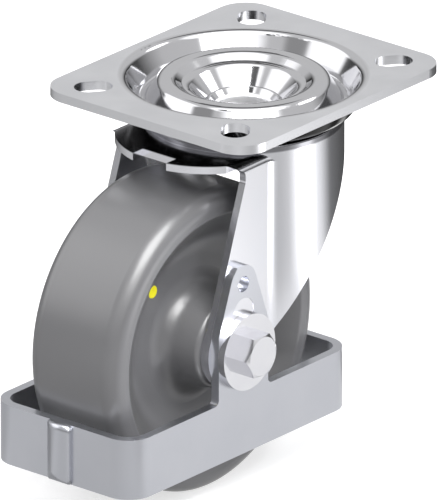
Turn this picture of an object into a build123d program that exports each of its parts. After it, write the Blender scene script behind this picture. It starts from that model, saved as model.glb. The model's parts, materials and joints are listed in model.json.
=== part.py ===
from build123d import *
import math
import os

# Swivel caster with a foot guard: plate on top, wheel trailing towards -X.
# Origin: centre of the plate's top face, on the swivel axis. +Z is up, the axle lies along Y.

# Whole caster
wheel_offset = 35.0
wheel_top_gap = 1.85
running_gap = 0.08
slip_fit = 0.05
overcut = 2.0

# Mounting plate, pressed from sheet
plate_length = 100.0
plate_width = 85.0
plate_sheet = 3.0
plate_corner_radius = 10.0
slot_spacing_x = 80.0
slot_spacing_y = 60.0
slot_width = 9.0
slot_travel = 3.3

# Dish pressed into the plate, given on its upper surface from the rim inwards
dish_rim_radius = 38.2
groove_outer_radius = 33.0
groove_inner_radius = 31.0
groove_depth = 8.0
crest_outer_radius = 26.8
crest_inner_radius = 22.1
crest_depth = 1.1
ledge_outer_radius = 19.4
ledge_inner_radius = 17.4
ledge_depth = 3.2
funnel_slope = 47.0
tight_bend = 0.8
wide_bend = 2.3
dish_collar = 2.0

# Hollow king rivet, which holds the swivel head together
rivet_bore = 17.6
rivet_wall = 1.25
rivet_flare_radius = 11.1
rivet_flare_bend = 1.2
rivet_curl_width = 2.6
rivet_curl_bend = 0.3

# Swivel bearing: two rows of balls
upper_ball_diameter = 8.0
upper_ball_pitch_radius = 23.45
upper_ball_drop = 0.85
lower_ball_diameter = 7.0
lower_ball_pitch_radius = 18.2
ball_spacing = 1.0
upper_track_depth = 0.7
lower_track_depth = 0.5
race_seat_width = 3.0
race_brim_radius = 21.8
race_brim_thickness = 2.4
race_brim_width = 5.6
race_cone_run = 1.0
race_centre_thickness = 4.0

# Fork, pressed from sheet
fork_sheet = 2.5
fork_bend = 1.0
head_height = 2.25
head_shoulder = 1.0
head_inner_corner = 0.4
crown_hole_radius = 15.4
skirt_radius = 31.7
skirt_lip = 5.5
skirt_rear_x = 24.5
skirt_corner_radius = 6.0
leg_front_x = -30.4
leg_front_drop = 6.3
leg_flare_drop = 2.9
leg_flare_radius = 2.0
leg_corner_radius = 3.0
leg_end_radius = 13.5
leg_blend = 7.5
lobe_radius = 29.3
lobe_reach = 46.6
notch_width = 13.6
notch_depth = 5.6

# Dust seal between the fork's head and the plate
seal_margin = 0.2
seal_width = 3.0
seal_gap = 0.3
seal_foot_chamfer = 0.2
seal_lip_width = 0.9
seal_wall_height = 0.5

# Wheel, moulded in one piece
wheel_diameter = 100.0
wheel_width = 36.0
tread_crown = 0.4
shoulder_radius = 5.5
rim_inner_radius = 42.0
rim_edge_radius = 1.6
web_thickness = 17.2
web_outer_radius = 31.0
web_blend = 12.0
hub_length = 45.0
hub_diameter = 28.0
hub_root_diameter = 33.0
hub_blend = 7.0
hub_edge_radius = 2.0

# Roller bearing and axle
axle_tube_diameter = 12.0
axle_tube_wall = 1.8
roller_diameter = 3.5
roller_length = 37.0
roller_count = 10
cage_wall = 1.0
cage_end = 2.0
bearing_play = 0.04
thrust_washer_diameter = 26.0
thrust_washer_thickness = 1.0
side_play = 0.15
bolt_diameter = 8.0
bolt_clearance = 0.2
bolt_head_flats = 13.0
bolt_head_height = 5.5
bolt_head_face = 6.3
bolt_head_taper = 0.8
bolt_head_taper_width = 1.4
bolt_end = 2.0
bolt_end_chamfer = 0.8
nut_height = 5.6
nut_collar_height = 2.4
nut_collar_lip = 0.4
nut_collar_radius = 5.9
nut_insert_radius = 5.1
axle_washer_diameter = 25.0
axle_washer_thickness = 2.5

# Foot guard: a flat bar bent round the wheel, with an ear on each side
guard_height = 20.0
guard_sheet = 3.0
guard_length = 108.2
guard_floor_gap = 15.0
guard_corner_radius = 8.8
ear_width = 24.0
ear_shoulder_height = 7.5
ear_top_radius = 6.2
ear_hole_height = 22.3
ear_hole_diameter = 5.2
ear_foot_radius = 1.8
tab_width = 3.0
tab_drop = 3.1
tab_reach = 5.3
weld_width = 9.7
weld_height = 1.3
weld_end_rounding = 0.9

# Locating studs that key the ears to the legs
stud_height = 12.6
stud_head_diameter = 9.8
stud_shank_diameter = 6.0
stud_recess = 0.1

# Colour dot on the wheel
dot_diameter = 4.2
dot_radius_from_axle = 28.4
dot_angle = 134.0
dot_thickness = 0.6
dot_recess = 0.4

# Places worked out from the sizes above
funnel_angle = math.radians(funnel_slope)
rivet_radius = rivet_bore / 2 + rivet_wall
plate_hole_radius = rivet_radius + slip_fit
funnel_end_radius = plate_hole_radius + plate_sheet / 2

upper_ball_radius = upper_ball_diameter / 2
lower_ball_radius = lower_ball_diameter / 2
upper_ball_z = -crest_depth - plate_sheet - upper_ball_drop - upper_ball_radius
upper_ball_count = int(2 * math.pi * upper_ball_pitch_radius / (upper_ball_diameter + ball_spacing))
lower_ball_count = int(2 * math.pi * lower_ball_pitch_radius / (lower_ball_diameter + ball_spacing))
head_top = upper_ball_z - upper_ball_radius + upper_track_depth
crown_top = head_top - head_height
crown_bottom = crown_top - fork_sheet
lower_ball_z = head_top - fork_sheet + lower_track_depth - lower_ball_radius
brim_top = lower_ball_z - lower_ball_radius + lower_track_depth
brim_bottom = brim_top - race_brim_thickness

axle_x = -wheel_offset
axle_z = brim_bottom - wheel_top_gap - wheel_diameter / 2
floor_z = axle_z - wheel_diameter / 2
axle_point = (axle_x, 0, axle_z)
axle_axis = Axis(axle_point, (0, 1, 0))
axle_section = Plane(origin=axle_point, x_dir=(0, 1, 0), z_dir=(1, 0, 0))
axle_side = Plane(origin=axle_point, x_dir=(1, 0, 0), z_dir=(0, -1, 0))

leg_inner_y = hub_length / 2 + thrust_washer_thickness + 2 * side_play
leg_outer_y = leg_inner_y + fork_sheet
ear_outer_y = leg_outer_y + guard_sheet
ear_top = ear_hole_height + ear_top_radius
washer_outer_y = ear_outer_y + axle_washer_thickness
bend_outer = fork_bend + fork_sheet
fork_reach = wheel_offset + 1.5 * leg_end_radius
fork_depth = crown_top - axle_z + 1.5 * leg_end_radius

guard_bottom = floor_z + guard_floor_gap
guard_top = guard_bottom + guard_height
bolt_hole_radius = bolt_diameter / 2 + bolt_clearance
tube_radius = axle_tube_diameter / 2
roller_pitch_radius = tube_radius + bearing_play + roller_diameter / 2
hub_bore_radius = tube_radius + roller_diameter + 2 * bearing_play


def tangent_point(start, centre, radius, side):
    """Point where the line from start touches the circle, on the chosen side."""
    dx = start[0] - centre[0]
    dz = start[1] - centre[1]
    angle = math.atan2(dz, dx) + side * math.acos(radius / math.hypot(dx, dz))
    return (centre[0] + radius * math.cos(angle), centre[1] + radius * math.sin(angle))


def pressed_section(points, bends, thickness):
    """Section of bent sheet on the XZ plane, from its middle line and its bend radii."""
    with BuildSketch(Plane.XZ) as section:
        with BuildLine():
            FilletPolyline(*points, radius=bends)
            offset(amount=thickness / 2)
        make_face()
    return section.sketch


def pressed_ring(points, bends, thickness, join_radius):
    """Ring pressed from sheet, turned round the swivel axis and cut square at its outer edge."""
    with BuildPart() as ring:
        revolve(pressed_section(points, bends, thickness), axis=Axis.Z)
        with BuildSketch():
            Circle(join_radius)
        extrude(amount=-floor_z, both=True, mode=Mode.INTERSECT)
    return ring.part


def ball_track(pitch_radius, height, radius):
    """Ring-shaped groove that a row of balls runs in."""
    with BuildPart() as track:
        with BuildSketch(Plane.XZ):
            with Locations((pitch_radius, height)):
                Circle(radius + running_gap)
        revolve(axis=Axis.Z)
    return track.part


def ball_row(count, pitch_radius, height, radius):
    """One row of bearing balls round the swivel axis."""
    with BuildPart() as row:
        with Locations((0, 0, height)):
            with PolarLocations(pitch_radius, count):
                Sphere(radius)
    return row.part


def ring_on_axle(outer_radius, inner_radius, start_y, thickness):
    """Flat ring round the axle, from start_y outwards along Y."""
    with BuildPart() as ring:
        with BuildSketch(axle_side.offset(-start_y)):
            Circle(outer_radius)
            Circle(inner_radius, mode=Mode.SUBTRACT)
        extrude(amount=-thickness)
    return ring.part


def near(sketch, x, y):
    """Corners of a section at the given distance from its middle and height."""
    return sketch.vertices().filter_by(
        lambda corner: abs(abs(corner.X) - x) < 0.01 and abs(corner.Y - y) < 0.01
    )


upper_track = ball_track(upper_ball_pitch_radius, upper_ball_z, upper_ball_radius)
lower_track = ball_track(lower_ball_pitch_radius, lower_ball_z, lower_ball_radius)

# Mounting plate: flat sheet with four slots on its diagonals and a pressed dish
half_sheet = plate_sheet / 2
funnel_shift = half_sheet * math.tan(funnel_angle / 2)
funnel_top_radius = ledge_inner_radius + funnel_shift
funnel_end_z = -ledge_depth - half_sheet - (funnel_top_radius - funnel_end_radius) * math.tan(funnel_angle)
race_seat_z = funnel_end_z - half_sheet * 0.7
dish_join_radius = dish_rim_radius + dish_collar
dish_line = [
    (dish_join_radius + plate_sheet, -half_sheet),
    (dish_rim_radius, -half_sheet),
    (groove_outer_radius + half_sheet / 2, -groove_depth - half_sheet),
    (groove_inner_radius - half_sheet / 2, -groove_depth - half_sheet),
    (crest_outer_radius - half_sheet / 2, -crest_depth - half_sheet),
    (crest_inner_radius + half_sheet / 3, -crest_depth - half_sheet),
    (ledge_outer_radius + half_sheet / 3, -ledge_depth - half_sheet),
    (funnel_top_radius, -ledge_depth - half_sheet),
    (funnel_end_radius, funnel_end_z),
]
dish_bends = [tight_bend, wide_bend, wide_bend, tight_bend, tight_bend, wide_bend, tight_bend]
slot_angle = math.degrees(math.atan2(slot_spacing_y, slot_spacing_x))
slot_middle_radius = math.hypot(slot_spacing_x, slot_spacing_y) / 2 - slot_travel / 2
slot_angles = [slot_angle, 180 - slot_angle, 180 + slot_angle, -slot_angle]

with BuildPart() as top_plate:
    with BuildSketch(Plane.XY.offset(-plate_sheet)):
        RectangleRounded(plate_length, plate_width, plate_corner_radius)
        Circle(dish_join_radius, mode=Mode.SUBTRACT)
        for angle in slot_angles:
            with PolarLocations(slot_middle_radius, 1, start_angle=angle):
                SlotCenterToCenter(slot_travel, slot_width, mode=Mode.SUBTRACT)
    extrude(amount=plate_sheet)
    add(pressed_ring(dish_line, dish_bends, plate_sheet, dish_join_radius))
    with BuildSketch(Plane.XY.offset(race_seat_z)):
        Circle(ledge_inner_radius)
    extrude(amount=-plate_sheet, mode=Mode.SUBTRACT)
    add(upper_track, mode=Mode.SUBTRACT)
top_plate.part.label = "top_plate"

# Lower race: turned ring under the plate's funnel, which carries the lower balls
race_bottom = race_seat_z - race_centre_thickness
brim_inner_radius = race_brim_radius - race_brim_width
with BuildPart() as lower_race:
    with BuildSketch(Plane.XZ):
        with BuildLine():
            Polyline(
                (plate_hole_radius, race_seat_z),
                (plate_hole_radius + race_seat_width, race_seat_z),
                (brim_inner_radius, brim_top),
                (race_brim_radius, brim_top),
                (race_brim_radius, brim_bottom),
                (brim_inner_radius - race_cone_run, brim_bottom),
                (plate_hole_radius + race_seat_width, race_bottom),
                (plate_hole_radius, race_bottom),
                close=True,
            )
        make_face()
    revolve(axis=Axis.Z)
    add(lower_track, mode=Mode.SUBTRACT)
lower_race.part.label = "lower_race"

# King rivet: hollow tube, flared into the funnel and curled under the lower race
rivet_middle = rivet_radius - rivet_wall / 2
flare_lift = (plate_sheet + rivet_wall) / 2
funnel_z_at_flare = funnel_end_z + (rivet_flare_radius - funnel_end_radius) * math.tan(funnel_angle)
flare_z = funnel_z_at_flare + flare_lift / math.cos(funnel_angle) + slip_fit / 2
tube_top_z = flare_z - (rivet_flare_radius - rivet_middle) * math.tan(funnel_angle)
curl_z = race_bottom - rivet_wall / 2
rivet_line = [
    (rivet_flare_radius, flare_z),
    (rivet_middle, tube_top_z),
    (rivet_middle, curl_z),
    (rivet_radius + rivet_curl_width - rivet_wall / 2, curl_z),
]
with BuildPart() as king_rivet:
    revolve(pressed_section(rivet_line, [rivet_flare_bend, rivet_curl_bend], rivet_wall), axis=Axis.Z)
king_rivet.part.label = "king_rivet"

# Ball rows
upper_balls = ball_row(upper_ball_count, upper_ball_pitch_radius, upper_ball_z, upper_ball_radius)
upper_balls.label = "upper_balls"
lower_balls = ball_row(lower_ball_count, lower_ball_pitch_radius, lower_ball_z, lower_ball_radius)
lower_balls.label = "lower_balls"


def fork_plan(inset):
    """Plan of the fork seen from above: round skirt at the back, flat legs in front."""
    with BuildSketch() as plan:
        Circle(skirt_radius - inset)
        with Locations((-fork_reach / 2, 0)):
            Rectangle(fork_reach, 2 * (leg_outer_y - inset))
        joint = plan.vertices().filter_by(
            lambda corner: corner.X > 1 - fork_reach and abs(abs(corner.Y) - leg_outer_y + inset) < 0.01
        )
        fillet(joint, leg_blend + inset)
    return plan.sketch


# Space inside the fork, open to the front
with BuildPart() as fork_cavity:
    with BuildSketch(Plane.XY.offset(crown_bottom)):
        add(fork_plan(fork_sheet))
    extrude(amount=-fork_depth)
    roof = fork_cavity.faces().sort_by(Axis.Z)[-1]
    fillet(roof.edges().filter_by(lambda edge: edge.center().X > 1 - fork_reach), fork_bend)

leg_top_corner = (leg_front_x, crown_top - leg_front_drop)
leg_flare_corner = (leg_front_x, crown_top - leg_flare_drop)
lobe_half_width = leg_outer_y - bend_outer
lobe_end_x = lobe_radius - lobe_reach - math.sqrt(lobe_radius ** 2 - lobe_half_width ** 2)
skirt_corner = (skirt_rear_x, crown_top - skirt_lip)
leg_centre = (axle_x, axle_z)
front_touch = tangent_point(leg_top_corner, leg_centre, leg_end_radius, 1)
rear_touch = tangent_point(skirt_corner, leg_centre, leg_end_radius, -1)
head_inner_radius = skirt_radius - fork_sheet

# Round head of the fork, raised above the crown
with BuildPart() as head:
    with BuildSketch(Plane.XZ) as head_section:
        with BuildLine():
            Polyline(
                (crown_hole_radius, head_top),
                (skirt_radius, head_top),
                (skirt_radius, crown_bottom),
                (head_inner_radius, crown_bottom),
                (head_inner_radius, head_top - fork_sheet),
                (crown_hole_radius, head_top - fork_sheet),
                close=True,
            )
        make_face()
        fillet(near(head_section, skirt_radius, head_top), head_shoulder)
        fillet(near(head_section, head_inner_radius, head_top - fork_sheet), head_inner_corner)
    revolve(axis=Axis.Z)

# Fork: round head and skirt, crown with a front lobe and two legs, pressed from one sheet
with BuildPart() as fork:
    with BuildSketch(Plane.XY.offset(crown_top)):
        add(fork_plan(0))
    extrude(amount=-fork_depth)
    top = fork.faces().sort_by(Axis.Z)[-1]
    fillet(top.edges().filter_by(lambda edge: edge.center().X > 1 - fork_reach), bend_outer)
    with BuildSketch(Plane.XY.offset(crown_top)):
        Circle(skirt_radius)
    extrude(amount=-fork_sheet - bend_outer)
    add(fork_cavity.part, mode=Mode.SUBTRACT)
    with BuildSketch(Plane.XZ) as side_view:
        with BuildLine():
            Polyline(
                rear_touch,
                skirt_corner,
                (skirt_radius + overcut, skirt_corner[1]),
                (skirt_radius + overcut, crown_top + overcut),
                (lobe_end_x, crown_top + overcut),
                (lobe_end_x, crown_top),
                leg_flare_corner,
                leg_top_corner,
                front_touch,
            )
            ThreePointArc(front_touch, (axle_x, axle_z - leg_end_radius), rear_touch)
        make_face()
        fillet(side_view.vertices().sort_by_distance(leg_flare_corner)[0], leg_flare_radius)
        fillet(side_view.vertices().sort_by_distance(leg_top_corner)[0], leg_corner_radius)
        fillet(side_view.vertices().sort_by_distance(skirt_corner)[0], skirt_corner_radius)
    extrude(amount=skirt_radius + overcut, both=True, mode=Mode.INTERSECT)
    with BuildSketch(Plane.XY.offset(crown_bottom)):
        with Locations((lobe_radius - lobe_reach, 0)):
            Circle(lobe_radius)
        with Locations((leg_front_x + overcut, 0)):
            Rectangle(
                lobe_reach,
                2 * lobe_half_width,
                align=(Align.MAX, Align.CENTER),
                mode=Mode.INTERSECT,
            )
        with Locations((notch_depth - lobe_reach, 0)):
            Rectangle(lobe_reach, notch_width, align=(Align.MAX, Align.CENTER), mode=Mode.SUBTRACT)
    extrude(amount=fork_sheet)
    with BuildSketch(Plane.XY.offset(crown_top + overcut)):
        Circle(head_inner_radius)
    extrude(amount=-fork_sheet - 2 * overcut, mode=Mode.SUBTRACT)
    add(head.part)
    add(upper_track, mode=Mode.SUBTRACT)
    add(lower_track, mode=Mode.SUBTRACT)
    with BuildSketch(axle_side):
        Circle(bolt_hole_radius)
        with Locations((0, stud_height)):
            Circle(stud_shank_diameter / 2 + slip_fit)
    extrude(amount=leg_outer_y + overcut, both=True, mode=Mode.SUBTRACT)
fork.part.label = "fork"

# Dust seal: ring on the head that closes the gap under the plate
seal_top = -groove_depth - plate_sheet - seal_gap
seal_outer_radius = skirt_radius - head_shoulder - seal_margin
seal_inner_radius = seal_outer_radius - seal_width
with BuildPart() as dust_seal:
    with BuildSketch(Plane.XZ):
        with BuildLine():
            Polyline(
                (seal_inner_radius, head_top),
                (seal_outer_radius - seal_foot_chamfer, head_top),
                (seal_outer_radius, head_top + seal_foot_chamfer),
                (seal_outer_radius, head_top + seal_wall_height),
                (seal_outer_radius - seal_lip_width, seal_top),
                (seal_outer_radius - 2 * seal_lip_width, seal_top),
                (seal_inner_radius, head_top + seal_wall_height),
                close=True,
            )
        make_face()
    revolve(axis=Axis.Z)
dust_seal.part.label = "dust_seal"

# Wheel: crowned tread, dished webs and a long hub in one moulding
half_width = wheel_width / 2
half_hub = hub_length / 2
half_web = web_thickness / 2
tread_radius = wheel_diameter / 2
edge_radius = tread_radius - tread_crown
rim_face = edge_radius - rim_inner_radius
side_points = [
    (half_width, rim_inner_radius),
    (half_web, web_outer_radius),
    (half_web, hub_root_diameter / 2),
    (half_hub, hub_diameter / 2),
    (half_hub, hub_bore_radius),
]
far_points = [(-x, y) for x, y in reversed(side_points)]
with BuildPart() as wheel:
    with BuildSketch(axle_section) as wheel_section:
        with BuildLine():
            tread = ThreePointArc((-half_width, edge_radius), (0, tread_radius), (half_width, edge_radius))
            Polyline(tread @ 1, *side_points, *far_points, tread @ 0)
        make_face()
        fillet(near(wheel_section, half_width, edge_radius), min(shoulder_radius, rim_face * 0.75))
        fillet(near(wheel_section, half_width, rim_inner_radius), min(rim_edge_radius, rim_face * 0.22))
        fillet(near(wheel_section, half_web, web_outer_radius), web_blend)
        fillet(near(wheel_section, half_web, hub_root_diameter / 2), hub_blend)
        fillet(near(wheel_section, half_hub, hub_diameter / 2), hub_edge_radius)
    revolve(axis=axle_axis)
    with BuildSketch(axle_side.offset(half_web - dot_recess)):
        with PolarLocations(dot_radius_from_axle, 1, start_angle=dot_angle):
            Circle(dot_diameter / 2)
    extrude(amount=dot_recess + 1, mode=Mode.SUBTRACT)
wheel.part.label = "wheel"

# Colour dot, set into the web on the near side
with BuildPart() as marking_dot:
    with BuildSketch(axle_side.offset(half_web - dot_recess)):
        with PolarLocations(dot_radius_from_axle, 1, start_angle=dot_angle):
            Circle(dot_diameter / 2 - slip_fit / 2)
    extrude(amount=dot_thickness)
marking_dot.part.label = "marking_dot"

# Axle tube, clamped between the legs
axle_tube = ring_on_axle(tube_radius, tube_radius - axle_tube_wall, -leg_inner_y, 2 * leg_inner_y)
axle_tube.label = "axle_tube"

# Rollers and their cage
with BuildPart() as rollers:
    with BuildSketch(axle_side.offset(-roller_length / 2)):
        with PolarLocations(roller_pitch_radius, roller_count):
            Circle(roller_diameter / 2)
    extrude(amount=roller_length)
rollers.part.label = "rollers"

window_length = roller_length + 2 * running_gap
cage_length = window_length + 2 * cage_end
with BuildPart() as roller_cage:
    with BuildSketch(axle_side.offset(-cage_length / 2)):
        Circle(roller_pitch_radius + cage_wall / 2)
        Circle(roller_pitch_radius - cage_wall / 2, mode=Mode.SUBTRACT)
    extrude(amount=cage_length)
    with BuildSketch(axle_side.offset(-window_length / 2)):
        with PolarLocations(roller_pitch_radius, roller_count):
            Circle(roller_diameter / 2 + running_gap)
    extrude(amount=window_length, mode=Mode.SUBTRACT)
roller_cage.part.label = "roller_cage"

# Weld bead that closes the guard's bar at the front
with BuildPart() as weld_bead:
    with BuildSketch(Plane.XY.offset(guard_bottom)):
        with Locations((axle_x - guard_length / 2, 0)):
            RectangleRounded(2 * weld_height, weld_width, weld_height * 0.9)
    extrude(amount=guard_height)
    fillet(weld_bead.faces().filter_by(Axis.Z).edges(), weld_end_rounding)

# Foot guard: bent bar with its weld bead, ears, and tabs that reach the legs' front edges
with BuildPart() as foot_guard:
    with BuildSketch(Plane.XY.offset(guard_bottom)):
        with Locations((axle_x, 0)):
            RectangleRounded(guard_length, 2 * ear_outer_y, guard_corner_radius)
            RectangleRounded(
                guard_length - 2 * guard_sheet,
                2 * leg_outer_y,
                guard_corner_radius - guard_sheet,
                mode=Mode.SUBTRACT,
            )
    extrude(amount=guard_height)
    add(weld_bead.part)
    for side in (-1, 1):
        with BuildSketch(axle_side.offset(-side * leg_outer_y)):
            with BuildLine():
                Line((-ear_width / 2, guard_top - axle_z), (ear_width / 2, guard_top - axle_z))
                Line((-ear_width / 2, ear_shoulder_height), (ear_width / 2, ear_shoulder_height))
                CenterArc((0, ear_hole_height), ear_top_radius, 0, 180)
            make_hull()
        extrude(amount=-side * guard_sheet)
        with BuildSketch(axle_side.offset(-side * leg_outer_y)):
            with BuildLine():
                Polyline(
                    (0, ear_top),
                    (-tab_width, ear_top),
                    (-tab_reach, ear_top - tab_drop),
                    (0, ear_top - tab_drop),
                    close=True,
                )
            make_face()
        extrude(amount=-side * guard_sheet)
    feet = foot_guard.edges().filter_by(Axis.Y).filter_by(
        lambda edge: abs(edge.center().Z - guard_top) < 0.01
        and abs(abs(edge.center().X - axle_x) - ear_width / 2) < 0.01
    )
    fillet(feet, ear_foot_radius)
    with BuildSketch(axle_side):
        Circle(bolt_hole_radius)
        with Locations((0, stud_height)):
            Circle(stud_head_diameter / 2 + slip_fit)
        with Locations((0, ear_hole_height)):
            Circle(ear_hole_diameter / 2)
    extrude(amount=ear_outer_y + overcut, both=True, mode=Mode.SUBTRACT)
foot_guard.part.label = "foot_guard"

# Fasteners at the axle
with BuildPart() as axle_bolt:
    with BuildSketch(axle_side.offset(washer_outer_y)):
        RegularPolygon(bolt_head_flats / 2, 6, major_radius=False)
    extrude(amount=bolt_head_height)
    bolt_length = 2 * washer_outer_y + nut_height + nut_collar_height + bolt_end
    with BuildSketch(axle_side.offset(washer_outer_y)):
        Circle(bolt_diameter / 2)
    extrude(amount=-bolt_length)
    chamfer(axle_bolt.faces().sort_by(Axis.Y)[-1].edges(), bolt_end_chamfer)
    with BuildSketch(axle_section):
        with BuildLine():
            head_end = -washer_outer_y - bolt_head_height
            Polyline(
                (head_end, bolt_head_face),
                (head_end + bolt_head_taper, bolt_head_face + bolt_head_taper_width),
                (head_end - overcut, bolt_head_face + bolt_head_taper_width),
                (head_end - overcut, bolt_head_face),
                close=True,
            )
        make_face()
    revolve(axis=axle_axis, mode=Mode.SUBTRACT)
axle_bolt.part.label = "axle_bolt"

nut_hole_radius = bolt_diameter / 2 + slip_fit
insert_height = nut_collar_height - nut_collar_lip
with BuildPart() as axle_nut:
    with BuildSketch(axle_side.offset(-washer_outer_y)):
        RegularPolygon(bolt_head_flats / 2, 6, major_radius=False)
    extrude(amount=-nut_height)
    with BuildSketch(axle_side.offset(-washer_outer_y - nut_height)):
        Circle(nut_collar_radius)
    extrude(amount=-nut_collar_height)
    with BuildSketch(axle_side.offset(-washer_outer_y)):
        Circle(nut_hole_radius)
    extrude(amount=-nut_height - nut_collar_height, mode=Mode.SUBTRACT)
    with BuildSketch(axle_side.offset(-washer_outer_y - nut_height)):
        Circle(nut_insert_radius)
    extrude(amount=-insert_height, mode=Mode.SUBTRACT)
axle_nut.part.label = "axle_nut"

nut_insert = ring_on_axle(nut_insert_radius, nut_hole_radius, washer_outer_y + nut_height, insert_height)
nut_insert.label = "nut_insert"

# Washers and studs, one on each side
paired = {}
for side, name in ((-1, "left"), (1, "right")):
    outer = ring_on_axle(
        axle_washer_diameter / 2, bolt_hole_radius, side * ear_outer_y, side * axle_washer_thickness
    )
    paired["axle_washer_" + name] = outer
    inner = ring_on_axle(
        thrust_washer_diameter / 2,
        tube_radius + slip_fit,
        side * (hub_length / 2 + side_play),
        side * thrust_washer_thickness,
    )
    paired["thrust_washer_" + name] = inner
    with BuildPart() as stud:
        with BuildSketch(axle_side.offset(-side * leg_outer_y)):
            with Locations((0, stud_height)):
                Circle(stud_head_diameter / 2)
        extrude(amount=-side * (guard_sheet - stud_recess))
        with BuildSketch(axle_side.offset(-side * leg_inner_y)):
            with Locations((0, stud_height)):
                Circle(stud_shank_diameter / 2)
        extrude(amount=-side * fork_sheet)
    paired["locating_stud_" + name] = stud.part

pieces = [
    top_plate.part,
    lower_race.part,
    king_rivet.part,
    upper_balls,
    lower_balls,
    fork.part,
    dust_seal.part,
    wheel.part,
    marking_dot.part,
    axle_tube,
    rollers.part,
    roller_cage.part,
    foot_guard.part,
    axle_bolt.part,
    axle_nut.part,
    nut_insert,
]
for name, piece in paired.items():
    piece.label = name
    pieces.append(piece)

os.makedirs("parts", exist_ok=True)
for piece in pieces:
    export_step(piece, "parts/" + piece.label + ".step")
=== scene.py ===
import json
import math
import bmesh
import bpy
from mathutils import Matrix, Vector


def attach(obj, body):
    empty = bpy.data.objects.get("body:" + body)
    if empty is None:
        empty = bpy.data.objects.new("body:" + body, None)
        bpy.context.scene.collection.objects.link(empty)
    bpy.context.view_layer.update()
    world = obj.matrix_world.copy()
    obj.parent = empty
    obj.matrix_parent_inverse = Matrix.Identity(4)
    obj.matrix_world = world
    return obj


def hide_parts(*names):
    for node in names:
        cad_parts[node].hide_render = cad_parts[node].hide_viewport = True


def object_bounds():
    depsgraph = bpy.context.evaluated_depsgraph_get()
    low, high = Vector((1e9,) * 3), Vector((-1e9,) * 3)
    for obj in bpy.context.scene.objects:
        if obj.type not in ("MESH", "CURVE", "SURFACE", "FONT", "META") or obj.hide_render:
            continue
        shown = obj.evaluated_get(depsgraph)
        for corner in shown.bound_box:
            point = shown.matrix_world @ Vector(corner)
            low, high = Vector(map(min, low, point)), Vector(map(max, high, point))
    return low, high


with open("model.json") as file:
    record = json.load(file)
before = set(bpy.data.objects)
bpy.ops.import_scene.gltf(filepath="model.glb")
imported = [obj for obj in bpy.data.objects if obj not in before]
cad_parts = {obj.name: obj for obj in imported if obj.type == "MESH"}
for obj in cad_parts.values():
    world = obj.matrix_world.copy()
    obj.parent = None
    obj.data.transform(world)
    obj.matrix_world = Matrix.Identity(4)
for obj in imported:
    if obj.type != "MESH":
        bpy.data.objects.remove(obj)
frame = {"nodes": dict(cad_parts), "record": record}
nodes = frame["nodes"]
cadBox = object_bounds()
floorHeight = cadBox[0].z
print("caster frame loaded with", len(nodes), "pieces")


# Directions are in degrees, azimuth from +X towards +Y
def direction(azimuth, elevation):
    turn, rise = math.radians(azimuth), math.radians(elevation)
    return Vector((math.cos(turn) * math.cos(rise), math.sin(turn) * math.cos(rise), math.sin(rise)))


def addObject(name, data):
    piece = bpy.data.objects.new(name, data)
    bpy.context.scene.collection.objects.link(piece)
    return piece


# Camera, at the photograph's angle through a very long lens
photoView = {
    "azimuth": -50.0,          # degrees, 0 looks along +Y
    "elevation": 22.0,
    "distance": 6.3,
    "heightCovered": 0.15679,  # metres of the caster from the picture's bottom to its top
    "centreRight": -0.007733,  # picture centre, from the middle of the plate
    "centreUp": -0.05530,
    "sensor": 36.0,
    "clip": (0.1, 100.0),
}


def placeCamera(view):
    back = direction(view["azimuth"] - 90, view["elevation"])
    right = direction(view["azimuth"], 0)
    up = back.cross(right)
    lens = bpy.data.cameras.new("photoCamera")
    lens.sensor_width = view["sensor"]
    lens.lens = view["sensor"] * view["distance"] / view["heightCovered"]
    lens.clip_start, lens.clip_end = view["clip"]
    camera = addObject("photoCamera", lens)
    camera.location = right * view["centreRight"] + up * view["centreUp"] + back * view["distance"]
    camera.rotation_mode = "QUATERNION"
    camera.rotation_quaternion = (-back).to_track_quat("-Z", "Y")
    bpy.context.scene.camera = camera
    print("camera placed")


# Node helpers. An input takes a plain value or another node's output.
noiseRange = (0.2, 0.8)        # the noise's values that count as its lowest and highest


def feed(tree, node, inputs):
    for name, value in inputs.items():
        if isinstance(value, bpy.types.NodeSocket):
            tree.links.new(value, node.inputs[name])
        else:
            node.inputs[name].default_value = value


def addNode(tree, kind, inputs={}, **settings):
    node = tree.nodes.new(kind)
    for name, value in settings.items():
        setattr(node, name, value)
    feed(tree, node, inputs)
    return node


def emptyTree(owner):
    owner.use_nodes = True
    owner.node_tree.nodes.clear()
    return owner.node_tree


def startMaterial(name, kind="ShaderNodeBsdfPrincipled"):
    material = bpy.data.materials.new(name)
    tree = emptyTree(material)
    shader = addNode(tree, kind)
    addNode(tree, "ShaderNodeOutputMaterial", {"Surface": shader.outputs[0]})
    return material, tree, shader


def rgba(colour):
    return (*colour, 1.0)


def grey(shade):
    return (shade, shade, shade, 1.0)


def calculate(tree, operation, first, second=0.0):
    return addNode(tree, "ShaderNodeMath", {0: first, 1: second}, operation=operation).outputs["Value"]


def split(tree, vector):
    return addNode(tree, "ShaderNodeSeparateXYZ", {"Vector": vector}).outputs


def blend(tree, factor, first, second, kind="RGBA"):
    inputs = {"Factor": factor, "A": first, "B": second}
    return addNode(tree, "ShaderNodeMix", inputs, data_type=kind).outputs["Result"]


def ramped(tree, value, start, to=(0.0, 1.0), kind="LINEAR"):
    inputs = {"Value": value, "From Min": start[0], "From Max": start[1], "To Min": to[0], "To Max": to[1]}
    return addNode(tree, "ShaderNodeMapRange", inputs, interpolation_type=kind).outputs["Result"]


def noise(tree, place, pattern):
    inputs = {"Vector": place.outputs["Object"], "Scale": pattern["scale"], "Detail": pattern["detail"]}
    return addNode(tree, "ShaderNodeTexNoise", inputs).outputs["Fac"]


def relief(tree, height, distance, strength, under=None):
    inputs = {"Height": height, "Distance": distance, "Strength": strength}
    if under:
        inputs["Normal"] = under
    return addNode(tree, "ShaderNodeBump", inputs).outputs["Normal"]


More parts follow.
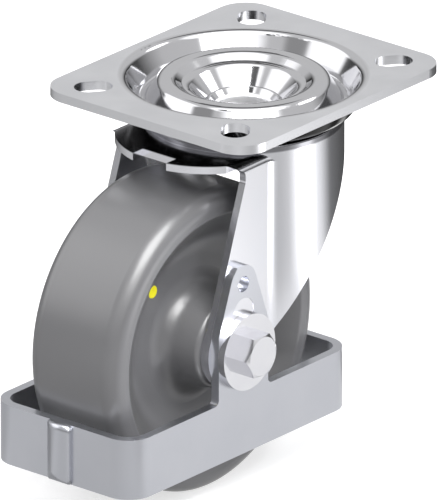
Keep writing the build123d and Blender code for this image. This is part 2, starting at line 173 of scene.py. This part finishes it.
# Finishes: colours of the clean surface and of its duller patches, roughness from low to high.
# A tint starts at the first value of each measure that it names, and is full at the second:
# radius is metres from the swivel axis, height is metres above the plate's top face, facing is 1 for
# a surface that looks up and -1 for one that looks down, sideways is 1 for one that looks along the axle.
zincPlate = {
    "colours": ((0.85, 0.855, 0.885), (0.80, 0.805, 0.835)),
    "rough": (0.18, 0.25),
    "metallic": 1.0,
    "gloss": 0.5,
    "patches": {"scale": 55.0, "detail": 4.0},
    "grain": {"scale": 900.0, "detail": 2.0, "depth": 0.00001, "strength": 0.08},
    "tints": [
        {"radius": (0.0398, 0.0388), "colour": (0.60, 0.60, 0.62), "rough": 0.08},   # polished dish, its colour darkened as painted shade
        {"radius": (0.0094, 0.0090), "colour": (0.90, 0.90, 0.91), "rough": 0.50},   # rivet's bore, made rough and lightened as painted light
        {"facing": (-0.02, -0.15), "radius": (0.0440, 0.0405), "colour": (0.012, 0.012, 0.012)},   # painted shade, near black, on the undersides round the swivel
    ],
}
zincFork = {
    "colours": ((0.92, 0.92, 0.96), (0.86, 0.87, 0.92)),
    "rough": (0.14, 0.20),
    "metallic": 1.0,
    "gloss": 0.5,
    "patches": {"scale": 45.0, "detail": 4.0},
    "grain": {"scale": 800.0, "detail": 2.0, "depth": 0.00001, "strength": 0.07},
    "tints": [{"height": (-0.0149, -0.0143), "colour": (0.30, 0.30, 0.32)}],         # painted shade on the raised head, in the gap under the plate
}
zincGuard = {
    "colours": ((0.63, 0.64, 0.685), (0.60, 0.613, 0.66)),
    "rough": (0.28, 0.32),
    "metallic": 1.0,
    "gloss": 0.5,
    "patches": {"scale": 60.0, "detail": 4.0},
    "grain": {"scale": 1100.0, "detail": 2.0, "depth": 0.00002, "strength": 0.10},
    "bead": {                  # places and sizes in metres, roundnesses in 1/metres
        "halfWidth": 0.00485,
        "middle": -0.1000,
        "straight": 0.0072,    # how far it runs straight from its middle, up and down
        "front": -0.0892,      # the bead lies where X is less than this
        "roundness": 75.0,
        "endRoundness": 170.0,
    },
}
zincFastener = {
    "colours": ((0.90, 0.90, 0.93), (0.84, 0.84, 0.88)),
    "rough": (0.12, 0.18),
    "metallic": 1.0,
    "gloss": 0.5,
    "patches": {"scale": 160.0, "detail": 4.0},
    "grain": {"scale": 1500.0, "detail": 2.0, "depth": 0.00001, "strength": 0.08},
    "tints": [{"facing": (-0.35, -0.80), "colour": (0.22, 0.22, 0.24)}],             # painted shade on sides that look down
}
hardSteel = {
    "colours": ((0.78, 0.78, 0.79), (0.72, 0.72, 0.73)),
    "rough": (0.05, 0.10),
    "metallic": 1.0,
    "gloss": 0.5,
    "patches": {"scale": 120.0, "detail": 4.0},
    "grain": {"scale": 2500.0, "detail": 2.0, "depth": 0.000004, "strength": 0.06},
}
wheelPlastic = {
    "colours": ((0.114, 0.114, 0.118), (0.108, 0.108, 0.112)),
    "rough": (0.285, 0.31),
    "metallic": 0.0,
    "gloss": 0.85,
    "patches": {"scale": 35.0, "detail": 1.0},
    "grain": {"scale": 1800.0, "detail": 3.0, "depth": 0.00002, "strength": 0.08},
    "tints": [{"sideways": (0.80, 0.97), "colour": (0.142, 0.142, 0.149)}],          # painted light on the webs and other faces that look along the axle
}
sealRubber = {
    "colours": ((0.016, 0.016, 0.017), (0.009, 0.009, 0.010)),
    "rough": (0.16, 0.24),
    "metallic": 0.0,
    "gloss": 0.5,
    "patches": {"scale": 90.0, "detail": 1.0},
    "grain": {"scale": 1500.0, "detail": 3.0, "depth": 0.00001, "strength": 0.15},
}
dotPaint = {
    "colours": ((0.90, 0.84, 0.02), (0.84, 0.76, 0.015)),
    "rough": (0.30, 0.38),
    "metallic": 0.0,
    "gloss": 0.5,
    "patches": {"scale": 500.0, "detail": 1.0},
    "grain": {"scale": 2500.0, "detail": 3.0, "depth": 0.00001, "strength": 0.20},
}
nylonInsert = {
    "colours": ((0.62, 0.66, 0.72), (0.54, 0.58, 0.66)),
    "rough": (0.40, 0.50),
    "metallic": 0.0,
    "gloss": 0.5,
    "patches": {"scale": 400.0, "detail": 1.0},
    "grain": {"scale": 2000.0, "detail": 3.0, "depth": 0.00001, "strength": 0.20},
}


def measured(tree, place, measure):
    position, normal = place.outputs["Object"], place.outputs["Normal"]
    if measure == "radius":
        flat = addNode(tree, "ShaderNodeVectorMath", {0: position, 1: (1, 1, 0)}, operation="MULTIPLY")
        reach = addNode(tree, "ShaderNodeVectorMath", {0: flat.outputs["Vector"]}, operation="LENGTH")
        return reach.outputs["Value"]
    if measure == "height":
        return split(tree, position)["Z"]
    if measure == "facing":
        return split(tree, normal)["Z"]
    return calculate(tree, "ABSOLUTE", split(tree, normal)["Y"])    # sideways


def tintMask(tree, place, tint):
    named = [measure for measure in ("facing", "sideways", "height", "radius") if measure in tint]
    mask = ramped(tree, measured(tree, place, named[0]), tint[named[0]])
    for measure in named[1:]:
        mask = calculate(tree, "MULTIPLY", mask, ramped(tree, measured(tree, place, measure), tint[measure]))
    return mask


# Swelling of the weld bead on the guard's front: round across, and rounded off at its two ends
def beadRelief(tree, place, bead):
    x, y, z = split(tree, place.outputs["Object"])
    edge = bead["halfWidth"] ** 2
    across = calculate(tree, "MINIMUM", calculate(tree, "MULTIPLY", y, y), edge)
    dome = calculate(tree, "MULTIPLY", calculate(tree, "SUBTRACT", edge, across), bead["roundness"])
    fromMiddle = calculate(tree, "ABSOLUTE", calculate(tree, "SUBTRACT", z, bead["middle"]))
    past = calculate(tree, "MAXIMUM", calculate(tree, "SUBTRACT", fromMiddle, bead["straight"]), 0.0)
    within = calculate(tree, "GREATER_THAN", dome, 0.0)
    drop = calculate(tree, "MULTIPLY", calculate(tree, "MULTIPLY", past, past), within)
    swelling = calculate(tree, "SUBTRACT", dome, calculate(tree, "MULTIPLY", drop, bead["endRoundness"]))
    atFront = calculate(tree, "LESS_THAN", x, bead["front"])
    return relief(tree, calculate(tree, "MULTIPLY", swelling, atFront), 1.0, 1.0)


def makeFinish(name, look):
    material, tree, shader = startMaterial(name)
    place = addNode(tree, "ShaderNodeTexCoord")
    patches = noise(tree, place, look["patches"])
    clean, dull = look["colours"]
    dullness = ramped(tree, patches, noiseRange, kind="SMOOTHSTEP")
    colour = blend(tree, dullness, rgba(clean), rgba(dull))
    roughness = ramped(tree, patches, noiseRange, look["rough"], "SMOOTHSTEP")
    for tint in look.get("tints", []):
        mask = tintMask(tree, place, tint)
        colour = blend(tree, mask, colour, rgba(tint["colour"]))
        if "rough" in tint:
            roughness = blend(tree, mask, roughness, tint["rough"], "FLOAT")
    grain = look["grain"]
    under = beadRelief(tree, place, look["bead"]) if "bead" in look else None
    normal = relief(tree, noise(tree, place, grain), grain["depth"], grain["strength"], under)
    feed(tree, shader, {
        "Base Color": colour, "Roughness": roughness, "Normal": normal,
        "Metallic": look["metallic"], "Specular IOR Level": look["gloss"]})
    return material


def dressPieces():
    finishes = {
        "plate_zinc": makeFinish("zincPlate", zincPlate),
        "fork_zinc": makeFinish("zincFork", zincFork),
        "guard_zinc": makeFinish("zincGuard", zincGuard),
        "fastener_zinc": makeFinish("zincFastener", zincFastener),
        "bearing_steel": makeFinish("hardSteel", hardSteel),
        "wheel_grey": makeFinish("wheelPlastic", wheelPlastic),
        "seal_black": makeFinish("sealRubber", sealRubber),
        "dot_yellow": makeFinish("dotPaint", dotPaint),
        "insert_nylon": makeFinish("nylonInsert", nylonInsert),
    }
    for row in frame["record"]["subparts"]:
        mesh = nodes[row["node"]].data
        mesh.materials.clear()
        mesh.materials.append(finishes[row["material_slot"]])
    return finishes


# The bolt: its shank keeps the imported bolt's form up to the cut, and a thread makes its free end.
# The tree's named inputs are in metres.
threadSizes = {"Pitch": 0.00125, "Radius": 0.0040, "Depth": 0.00077, "Length": 0.0026, "Chamfer": 0.0006}
thread = {
    "cut": 0.0390,
    "start": 0.0386,           # it starts inside the shank
    "axle": (-0.035, -0.075),  # X and Z
    "sides": 48,
    "fill": 0.92,              # the ridge's width, as a share of the pitch
    "coreLap": 0.00004,        # how far the core stands out past the ridge's base
    "tipLap": 0.0002,          # the same for the tip's wide end
    "crease": 30.0,            # edges bent by more than these degrees stay sharp
}


def dressBolt(piece):
    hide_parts("axle_bolt")
    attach(piece, "fork_assembly")


def makeShank(finish):
    work = bmesh.new()
    work.from_mesh(nodes["axle_bolt"].data)
    parts = [*work.verts, *work.edges, *work.faces]
    cut = bmesh.ops.bisect_plane(
        work, geom=parts, plane_co=(0, thread["cut"], 0), plane_no=(0, 1, 0), clear_outer=True)
    rim = [edge for edge in cut["geom_cut"] if isinstance(edge, bmesh.types.BMEdge)]
    bmesh.ops.contextual_create(work, geom=rim)
    mesh = bpy.data.meshes.new("boltShank")
    work.to_mesh(mesh)
    work.free()
    mesh.materials.append(finish)
    dressBolt(addObject("boltShank", mesh))
    print("bolt cut, faces:", len(mesh.polygons))


def threadTree():
    tree = bpy.data.node_groups.new("boltThread", "GeometryNodeTree")
    tree.is_modifier = True
    tree.interface.new_socket("Geometry", in_out="OUTPUT", socket_type="NodeSocketGeometry")
    for name in threadSizes:
        tree.interface.new_socket(name, in_out="INPUT", socket_type="NodeSocketFloat")
    tree.interface.new_socket("Finish", in_out="INPUT", socket_type="NodeSocketMaterial")
    sizes = addNode(tree, "NodeGroupInput").outputs
    length = sizes["Length"]

    # A ridge of triangular section winds round the core
    reach = calculate(tree, "MULTIPLY", sizes["Depth"], 2 / 3)    # from the triangle's middle to its crest
    middle = calculate(tree, "SUBTRACT", sizes["Radius"], reach)
    turns = calculate(tree, "DIVIDE", length, sizes["Pitch"])
    helix = addNode(tree, "GeometryNodeCurveSpiral", {
        "Resolution": thread["sides"], "Rotations": turns,
        "Start Radius": middle, "End Radius": middle, "Height": length})
    upright = addNode(tree, "GeometryNodeSetCurveNormal", {"Curve": helix.outputs["Curve"]}, mode="Z_UP")
    ridge = addNode(tree, "GeometryNodeCurvePrimitiveCircle", {"Resolution": 3, "Radius": reach})
    side = calculate(tree, "MULTIPLY", reach, math.sqrt(3))
    width = calculate(tree, "MULTIPLY", sizes["Pitch"], thread["fill"])
    scale = addNode(tree, "ShaderNodeCombineXYZ", {
        "X": 1.0, "Y": calculate(tree, "DIVIDE", width, side), "Z": 1.0})
    fitted = addNode(tree, "GeometryNodeTransform", {
        "Geometry": ridge.outputs["Curve"], "Scale": scale.outputs["Vector"]})
    turned = addNode(tree, "GeometryNodeTransform", {
        "Geometry": fitted.outputs["Geometry"], "Rotation": (0, 0, math.pi)})
    sweep = addNode(tree, "GeometryNodeCurveToMesh", {
        "Curve": upright.outputs["Curve"], "Profile Curve": turned.outputs["Geometry"], "Fill Caps": True})

    # Core under the ridge, and the chamfered tip past it
    root = calculate(tree, "SUBTRACT", sizes["Radius"], sizes["Depth"])
    coreRadius = calculate(tree, "ADD", root, thread["coreLap"])
    core = addNode(tree, "GeometryNodeMeshCylinder", {
        "Vertices": thread["sides"], "Radius": coreRadius, "Depth": length})
    tipRadius = calculate(tree, "ADD", root, thread["tipLap"])
    tip = addNode(tree, "GeometryNodeMeshCone", {
        "Vertices": thread["sides"], "Radius Bottom": tipRadius,
        "Radius Top": calculate(tree, "SUBTRACT", tipRadius, sizes["Chamfer"]), "Depth": sizes["Chamfer"]})
    join = addNode(tree, "GeometryNodeJoinGeometry", {"Geometry": sweep.outputs["Mesh"]})
    for solid, lift in ((core, calculate(tree, "MULTIPLY", length, 0.5)), (tip, length)):
        place = addNode(tree, "ShaderNodeCombineXYZ", {"Z": lift})
        raised = addNode(tree, "GeometryNodeTransform", {
            "Geometry": solid.outputs["Mesh"], "Translation": place.outputs["Vector"]})
        feed(tree, join, {"Geometry": raised.outputs["Geometry"]})
    realize = addNode(tree, "GeometryNodeRealizeInstances", {"Geometry": join.outputs["Geometry"]})
    finish = addNode(tree, "GeometryNodeSetMaterial", {
        "Geometry": realize.outputs["Geometry"], "Material": sizes["Finish"]})
    addNode(tree, "NodeGroupOutput", {"Geometry": finish.outputs["Geometry"]})
    return tree


def makeThread(finish):
    piece = addObject("boltThread", bpy.data.meshes.new("boltThread"))
    modifier = piece.modifiers.new("boltThread", "NODES")
    modifier.node_group = threadTree()
    for item in modifier.node_group.interface.items_tree:
        if item.in_out == "INPUT":
            modifier[item.identifier] = threadSizes.get(item.name, finish)
    bpy.context.view_layer.update()
    shape = bpy.data.meshes.new_from_object(piece.evaluated_get(bpy.context.evaluated_depsgraph_get()))
    piece.modifiers.remove(modifier)
    piece.data = shape
    shape.materials.clear()    # drops the empty slot that Set Material leaves
    shape.materials.append(finish)
    axleX, axleZ = thread["axle"]
    place = Matrix.Translation((axleX, thread["start"], axleZ))
    shape.transform(place @ Matrix.Rotation(math.radians(-90), 4, "X"))
    shape.shade_smooth()
    shape.set_sharp_from_angle(angle=math.radians(thread["crease"]))
    dressBolt(piece)
    print("thread made, faces:", len(shape.polygons))


# Studio: a pale floor, a sky with soft boxes in it, a lamp, and a carpet and a card that only gloss sees.
# Shades are brightnesses of grey light.
floorLook = {
    "colour": (0.45, 0.45, 0.46),
    "lift": 0.66,              # brightness added for the camera alone
    "size": 8.0,
    "roughness": 0.9,
    "gloss": 0.1,
}


def makeFloor():
    half = floorLook["size"] / 2
    mesh = bpy.data.meshes.new("studioFloor")
    corners = [(-half, -half), (half, -half), (half, half), (-half, half)]
    mesh.from_pydata([(x, y, floorHeight) for x, y in corners], [], [(0, 1, 2, 3)])
    floor = addObject("studioFloor", mesh)
    material, tree, shader = startMaterial("studioFloor")
    seen = addNode(tree, "ShaderNodeLightPath").outputs["Is Camera Ray"]
    feed(tree, shader, {
        "Base Color": rgba(floorLook["colour"]), "Roughness": floorLook["roughness"],
        "Specular IOR Level": floorLook["gloss"], "Emission Color": grey(1.0),
        "Emission Strength": calculate(tree, "MULTIPLY", seen, floorLook["lift"])})
    mesh.materials.append(material)


skyLook = {
    "bands": [(0.0, 0.06), (0.12, 0.10), (0.22, 0.34), (0.36, 0.74), (0.70, 0.80), (1.0, 0.85)],
    "softBoxes": [             # where each is, how far it reaches, how soft its edge is, all in degrees
        {"azimuth": -125.0, "elevation": 66.0, "reach": 32.0, "edge": 8.0, "shade": 1.9},
        {"azimuth": 120.0, "elevation": 29.0, "reach": 21.0, "edge": 8.0, "shade": 1.8},
        {"azimuth": -108.0, "elevation": 36.0, "reach": 9.0, "edge": 5.0, "shade": 5.5},
        {"azimuth": -32.0, "elevation": 37.0, "reach": 8.0, "edge": 5.0, "shade": 4.5},
        {"azimuth": -174.0, "elevation": 60.0, "reach": 7.0, "edge": 3.0, "shade": 0.15},
        {"azimuth": 160.0, "elevation": 38.0, "reach": 9.0, "edge": 7.0, "shade": 0.40},
        {"azimuth": 40.0, "elevation": 52.0, "reach": 11.0, "edge": 6.0, "shade": 0.16},
    ],
}


def fillRamp(tree, value, stops):
    ramp = addNode(tree, "ShaderNodeValToRGB", {"Fac": value})
    marks = ramp.color_ramp.elements
    for position, shade in stops[1:-1]:
        marks.new(position).color = grey(shade)
    marks[0].color = grey(stops[0][1])
    marks[-1].color = grey(stops[-1][1])
    return ramp.outputs["Color"]


def makeSky():
    world = bpy.data.worlds.new("studioSky")
    tree = emptyTree(world)
    place = addNode(tree, "ShaderNodeTexCoord").outputs["Generated"]
    sky = fillRamp(tree, split(tree, place)["Z"], skyLook["bands"])
    for box in skyLook["softBoxes"]:
        middle = direction(box["azimuth"], box["elevation"])
        nearness = addNode(tree, "ShaderNodeVectorMath", {0: place, 1: middle}, operation="DOT_PRODUCT")
        edge = [math.cos(math.radians(box["reach"] + more)) for more in (box["edge"], 0.0)]
        mask = ramped(tree, nearness.outputs["Value"], edge, kind="SMOOTHSTEP")
        sky = blend(tree, mask, sky, grey(box["shade"]))
    seen = addNode(tree, "ShaderNodeLightPath").outputs["Is Camera Ray"]
    background = addNode(tree, "ShaderNodeBackground", {"Color": blend(tree, seen, sky, grey(1.0))})
    addNode(tree, "ShaderNodeOutputWorld", {"Surface": background.outputs["Background"]})
    bpy.context.scene.world = world


lampLook = {
    "power": 24.0,
    "size": 0.9,
    "azimuth": -118.0,
    "elevation": 62.0,
    "distance": 1.3,
    "gloss": 0.6,              # how strongly reflections show it
}


def makeLamp():
    lamp = bpy.data.lights.new("softBox", "AREA")
    lamp.energy = lampLook["power"]
    lamp.size = lampLook["size"]
    lamp.specular_factor = lampLook["gloss"]
    box = addObject("softBox", lamp)
    aim = direction(lampLook["azimuth"], lampLook["elevation"])
    box.location = aim * lampLook["distance"] + Vector((0, 0, floorHeight / 2))
    box.rotation_mode = "QUATERNION"
    box.rotation_quaternion = aim.to_track_quat("Z", "Y")


def glossOnly(piece):
    piece.visible_camera = False
    piece.visible_diffuse = False
    piece.visible_transmission = False
    piece.visible_shadow = False


carpetLook = {
    "radius": 1.5,
    "points": 72,
    "lift": 0.0004,            # above the floor
    "shades": [                # azimuth, shade
        (-180, 0.62), (-145, 0.72), (-115, 0.55), (-101, 0.52), (-90, 0.62), (-80, 1.20), (-73, 3.00),
        (-62, 3.00), (-57, 1.30), (-53, 0.92), (-47, 0.85), (-40, 0.55), (-30, 0.17), (-3, 0.10),
        (17, 0.07), (50, 0.06), (80, 0.25), (110, 0.50), (147, 0.54), (153, 0.74), (160, 0.68),
        (168, 0.63), (180, 0.62),
    ],
    "patches": [               # round, whole within the first radius and gone by the second
        {"centre": (0.020, -0.090), "reach": (0.085, 0.110), "shade": 0.86},
        {"centre": (0.125, 0.025), "reach": (0.030, 0.050), "shade": 2.2},
    ],
}


def makeCarpet():
    mesh = bpy.data.meshes.new("glossCarpet")
    height = floorHeight + carpetLook["lift"]
    points = range(carpetLook["points"])
    rim = [direction(360 * i / len(points), 0) * carpetLook["radius"] for i in points]
    mesh.from_pydata([(point.x, point.y, height) for point in rim], [], [tuple(points)])
    material, tree, glow = startMaterial("glossCarpet", "ShaderNodeEmission")
    place = addNode(tree, "ShaderNodeTexCoord").outputs["Object"]
    turn = addNode(tree, "ShaderNodeTexGradient", {"Vector": place}, gradient_type="RADIAL")
    stops = [((azimuth + 180) / 360, shade) for azimuth, shade in carpetLook["shades"]]
    shade = fillRamp(tree, turn.outputs["Fac"], stops)
    for patch in carpetLook["patches"]:
        centre = (*patch["centre"], height)
        reach = addNode(tree, "ShaderNodeVectorMath", {0: place, 1: centre}, operation="DISTANCE")
        near, far = patch["reach"]
        shade = blend(tree, ramped(tree, reach.outputs["Value"], (far, near)), shade, grey(patch["shade"]))
    feed(tree, glow, {"Color": shade})
    mesh.materials.append(material)
    glossOnly(addObject("glossCarpet", mesh))


cardLook = {"azimuths": (8, 74), "heights": (0.0, 0.20), "distance": 0.55, "steps": 16, "shade": 0.05}


def makeRearCard():
    steps = cardLook["steps"]
    low, high = cardLook["azimuths"]
    points = []
    for i in range(steps + 1):
        out = direction(low + (high - low) * i / steps, 0) * cardLook["distance"]
        points += [(out.x, out.y, floorHeight + height) for height in cardLook["heights"]]
    faces = [(2 * i, 2 * i + 1, 2 * i + 3, 2 * i + 2) for i in range(steps)]
    mesh = bpy.data.meshes.new("rearCard")
    mesh.from_pydata(points, [], faces)
    material, tree, glow = startMaterial("rearCard", "ShaderNodeEmission")
    feed(tree, glow, {"Strength": cardLook["shade"]})
    mesh.materials.append(material)
    glossOnly(addObject("rearCard", mesh))


placeCamera(photoView)
bpy.context.scene.view_settings.view_transform = "Standard"
finishes = dressPieces()
makeShank(finishes["fastener_zinc"])
makeThread(finishes["fastener_zinc"])
makeFloor()
makeSky()
makeLamp()
makeCarpet()
makeRearCard()
print("studio ready")
